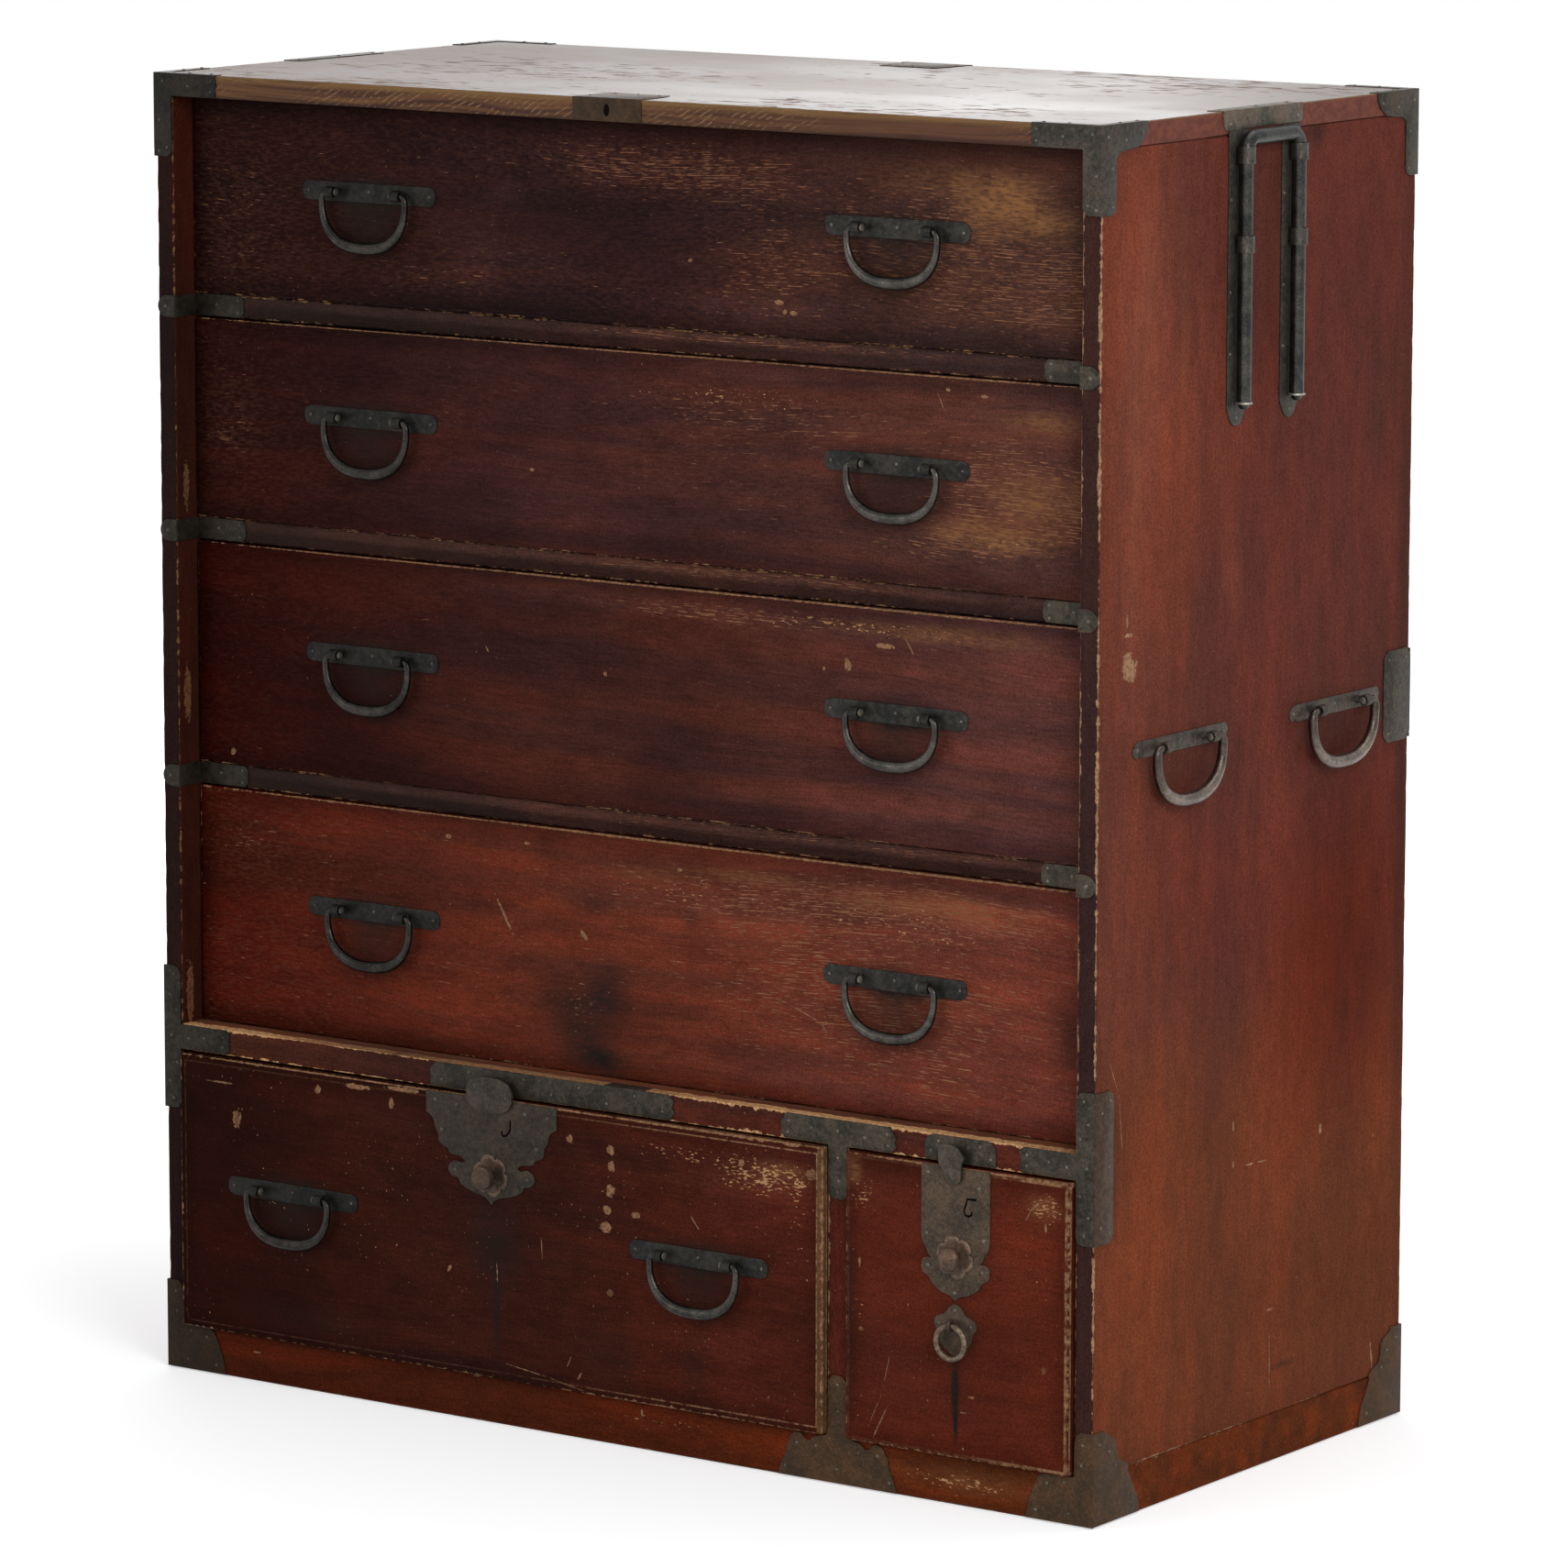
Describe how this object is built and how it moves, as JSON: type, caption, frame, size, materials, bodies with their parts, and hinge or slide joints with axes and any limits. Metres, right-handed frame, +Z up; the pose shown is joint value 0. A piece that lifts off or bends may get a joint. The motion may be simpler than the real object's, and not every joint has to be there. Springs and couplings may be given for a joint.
{
  "type": "chest of drawers",
  "caption": "Japanese clothing chest with full-width drawers over a lockable lower drawer and small cupboard, forged iron bails, corner irons and sliding pole handles.",
  "frame": {"origin": "middle of the whole chest's box, on the floor", "axes": "+Z up, the drawer fronts face -Y, +X to the viewer's right when looking at the front"},
  "size_m": [0.9348, 0.4732, 1.0635],
  "materials": {
    "red_lacquer": "worn dark red lacquer over softwood",
    "brown_lacquer": "worn red-brown lacquer with open grain",
    "plain_wood": "bare paulownia",
    "black_iron": "forged and blackened",
    "rust_iron": "forged, worn brown"
  },
  "bodies": {
    "case": {"left_side_panel": "brown_lacquer", "right_side_panel": "brown_lacquer", "top_board": "brown_lacquer", "back_panel": "brown_lacquer", "base_frame": "brown_lacquer", "drawer_shelf_1": "brown_lacquer", "drawer_shelf_2": "brown_lacquer", "drawer_shelf_3": "brown_lacquer", "lower_shelf": "brown_lacquer", "divider": "brown_lacquer", "top_corner_front_left": "black_iron", "top_corner_front_right": "black_iron", "top_corner_back_left": "black_iron", "top_corner_back_right": "black_iron", "mid_corner_left": "black_iron", "mid_corner_right": "black_iron", "base_corner_front_left": "rust_iron", "base_corner_front_right": "rust_iron", "base_corner_back_left": "rust_iron", "base_corner_back_right": "rust_iron", "upper_t_plate": "black_iron", "base_t_plate": "rust_iron", "main_strike_plate": "black_iron", "door_strike_plate": "black_iron", "pole_mount_left": "black_iron", "pole_mount_right": "black_iron"},
    "drawer_1": {"drawer_front_1": "red_lacquer", "drawer_box_1": "plain_wood"},
    "drawer_2": {"drawer_front_2": "red_lacquer", "drawer_box_2": "plain_wood"},
    "drawer_3": {"drawer_front_3": "red_lacquer", "drawer_box_3": "plain_wood"},
    "drawer_4": {"drawer_front_4": "red_lacquer", "drawer_box_4": "plain_wood"},
    "drawer_5": {"drawer_front_5": "red_lacquer", "drawer_box_5": "plain_wood", "main_lock_plate": "rust_iron"},
    "door": {"cupboard_door": "red_lacquer", "door_lock_plate": "rust_iron"},
    "handle_1_left": {"bail_1_left": "black_iron"},
    "handle_1_right": {"bail_1_right": "black_iron"},
    "handle_2_left": {"bail_2_left": "black_iron"},
    "handle_2_right": {"bail_2_right": "black_iron"},
    "handle_3_left": {"bail_3_left": "black_iron"},
    "handle_3_right": {"bail_3_right": "black_iron"},
    "handle_4_left": {"bail_4_left": "black_iron"},
    "handle_4_right": {"bail_4_right": "black_iron"},
    "handle_5_left": {"bail_5_left": "black_iron"},
    "handle_5_right": {"bail_5_right": "black_iron"},
    "side_handle_left_front": {"side_bail_left_front": "black_iron"},
    "side_handle_left_back": {"side_bail_left_back": "black_iron"},
    "side_handle_right_front": {"side_bail_right_front": "black_iron"},
    "side_handle_right_back": {"side_bail_right_back": "black_iron"},
    "ring_pull": {"door_ring": "rust_iron"},
    "pole_handle_left": {"pole_bar_left": "black_iron"},
    "pole_handle_right": {"pole_bar_right": "black_iron"},
    "main_bolt": {"main_lock_bolt": "black_iron"},
    "door_bolt": {"door_lock_bolt": "black_iron"},
    "main_knob": {"main_lock_knob": "rust_iron"},
    "door_knob": {"door_lock_knob": "rust_iron"}
  },
  "joints": [
    {"name": "drawer_1_slide", "type": "slide", "parent": "case", "child": "drawer_1", "axis": [0, -1, 0], "range_m": [0, 0.33]},
    {"name": "drawer_2_slide", "type": "slide", "parent": "case", "child": "drawer_2", "axis": [0, -1, 0], "range_m": [0, 0.33]},
    {"name": "drawer_3_slide", "type": "slide", "parent": "case", "child": "drawer_3", "axis": [0, -1, 0], "range_m": [0, 0.33]},
    {"name": "drawer_4_slide", "type": "slide", "parent": "case", "child": "drawer_4", "axis": [0, -1, 0], "range_m": [0, 0.33]},
    {"name": "drawer_5_slide", "type": "slide", "parent": "case", "child": "drawer_5", "axis": [0, -1, 0], "range_m": [0, 0.33]},
    {"name": "door_pull", "type": "slide", "parent": "case", "child": "door", "axis": [0, -1, 0], "range_m": [0, 0.03]},
    {"name": "handle_1_left_hinge", "type": "hinge", "parent": "drawer_1", "child": "handle_1_left", "pos_m": [-0.2535, -0.1998, 0.974], "axis": [-1, 0, 0], "range_deg": [0, 110]},
    {"name": "handle_1_right_hinge", "type": "hinge", "parent": "drawer_1", "child": "handle_1_right", "pos_m": [0.2535, -0.1998, 0.974], "axis": [-1, 0, 0], "range_deg": [0, 110]},
    {"name": "handle_2_left_hinge", "type": "hinge", "parent": "drawer_2", "child": "handle_2_left", "pos_m": [-0.2535, -0.1998, 0.79425], "axis": [-1, 0, 0], "range_deg": [0, 110]},
    {"name": "handle_2_right_hinge", "type": "hinge", "parent": "drawer_2", "child": "handle_2_right", "pos_m": [0.2535, -0.1998, 0.79425], "axis": [-1, 0, 0], "range_deg": [0, 110]},
    {"name": "handle_3_left_hinge", "type": "hinge", "parent": "drawer_3", "child": "handle_3_left", "pos_m": [-0.2535, -0.1998, 0.60325], "axis": [-1, 0, 0], "range_deg": [0, 110]},
    {"name": "handle_3_right_hinge", "type": "hinge", "parent": "drawer_3", "child": "handle_3_right", "pos_m": [0.2535, -0.1998, 0.60325], "axis": [-1, 0, 0], "range_deg": [0, 110]},
    {"name": "handle_4_left_hinge", "type": "hinge", "parent": "drawer_4", "child": "handle_4_left", "pos_m": [-0.2535, -0.1998, 0.396], "axis": [-1, 0, 0], "range_deg": [0, 110]},
    {"name": "handle_4_right_hinge", "type": "hinge", "parent": "drawer_4", "child": "handle_4_right", "pos_m": [0.2535, -0.1998, 0.396], "axis": [-1, 0, 0], "range_deg": [0, 110]},
    {"name": "handle_5_left_hinge", "type": "hinge", "parent": "drawer_5", "child": "handle_5_left", "pos_m": [-0.316, -0.2293, 0.1625], "axis": [-1, 0, 0], "range_deg": [0, 110]},
    {"name": "handle_5_right_hinge", "type": "hinge", "parent": "drawer_5", "child": "handle_5_right", "pos_m": [0.089, -0.2293, 0.1625], "axis": [-1, 0, 0], "range_deg": [0, 110]},
    {"name": "side_handle_left_front_hinge", "type": "hinge", "parent": "case", "child": "side_handle_left_front", "pos_m": [-0.4617, -0.1014, 0.59], "axis": [0, 1, 0], "range_deg": [0, 110]},
    {"name": "side_handle_left_back_hinge", "type": "hinge", "parent": "case", "child": "side_handle_left_back", "pos_m": [-0.4617, 0.1216, 0.59], "axis": [0, 1, 0], "range_deg": [0, 110]},
    {"name": "side_handle_right_front_hinge", "type": "hinge", "parent": "case", "child": "side_handle_right_front", "pos_m": [0.4617, -0.1014, 0.59], "axis": [0, -1, 0], "range_deg": [0, 110]},
    {"name": "side_handle_right_back_hinge", "type": "hinge", "parent": "case", "child": "side_handle_right_back", "pos_m": [0.4617, 0.1216, 0.59], "axis": [0, -1, 0], "range_deg": [0, 110]},
    {"name": "ring_hinge", "type": "hinge", "parent": "door", "child": "ring_pull", "pos_m": [0.331, -0.2283, 0.1435], "axis": [-1, 0, 0], "range_deg": [0, 110]},
    {"name": "pole_handle_left_slide", "type": "slide", "parent": "case", "child": "pole_handle_left", "axis": [0, 0, 1], "range_m": [0, 0.111]},
    {"name": "pole_handle_right_slide", "type": "slide", "parent": "case", "child": "pole_handle_right", "axis": [0, 0, 1], "range_m": [0, 0.111]},
    {"name": "main_bolt_slide", "type": "slide", "parent": "drawer_5", "child": "main_bolt", "axis": [0, 0, 1], "range_m": [0, 0.005]},
    {"name": "door_bolt_slide", "type": "slide", "parent": "door", "child": "door_bolt", "axis": [0, 0, 1], "range_m": [0, 0.005]},
    {"name": "main_knob_push", "type": "slide", "parent": "drawer_5", "child": "main_knob", "axis": [0, 1, 0], "range_m": [0, 0.0038]},
    {"name": "door_knob_push", "type": "slide", "parent": "door", "child": "door_knob", "axis": [0, 1, 0], "range_m": [0, 0.0038]}
  ],
  "couplings": [
    {"joint": "main_knob_push", "follows": "main_bolt_slide", "ratio": 0.76},
    {"joint": "door_knob_push", "follows": "door_bolt_slide", "ratio": 0.76}
  ]
}
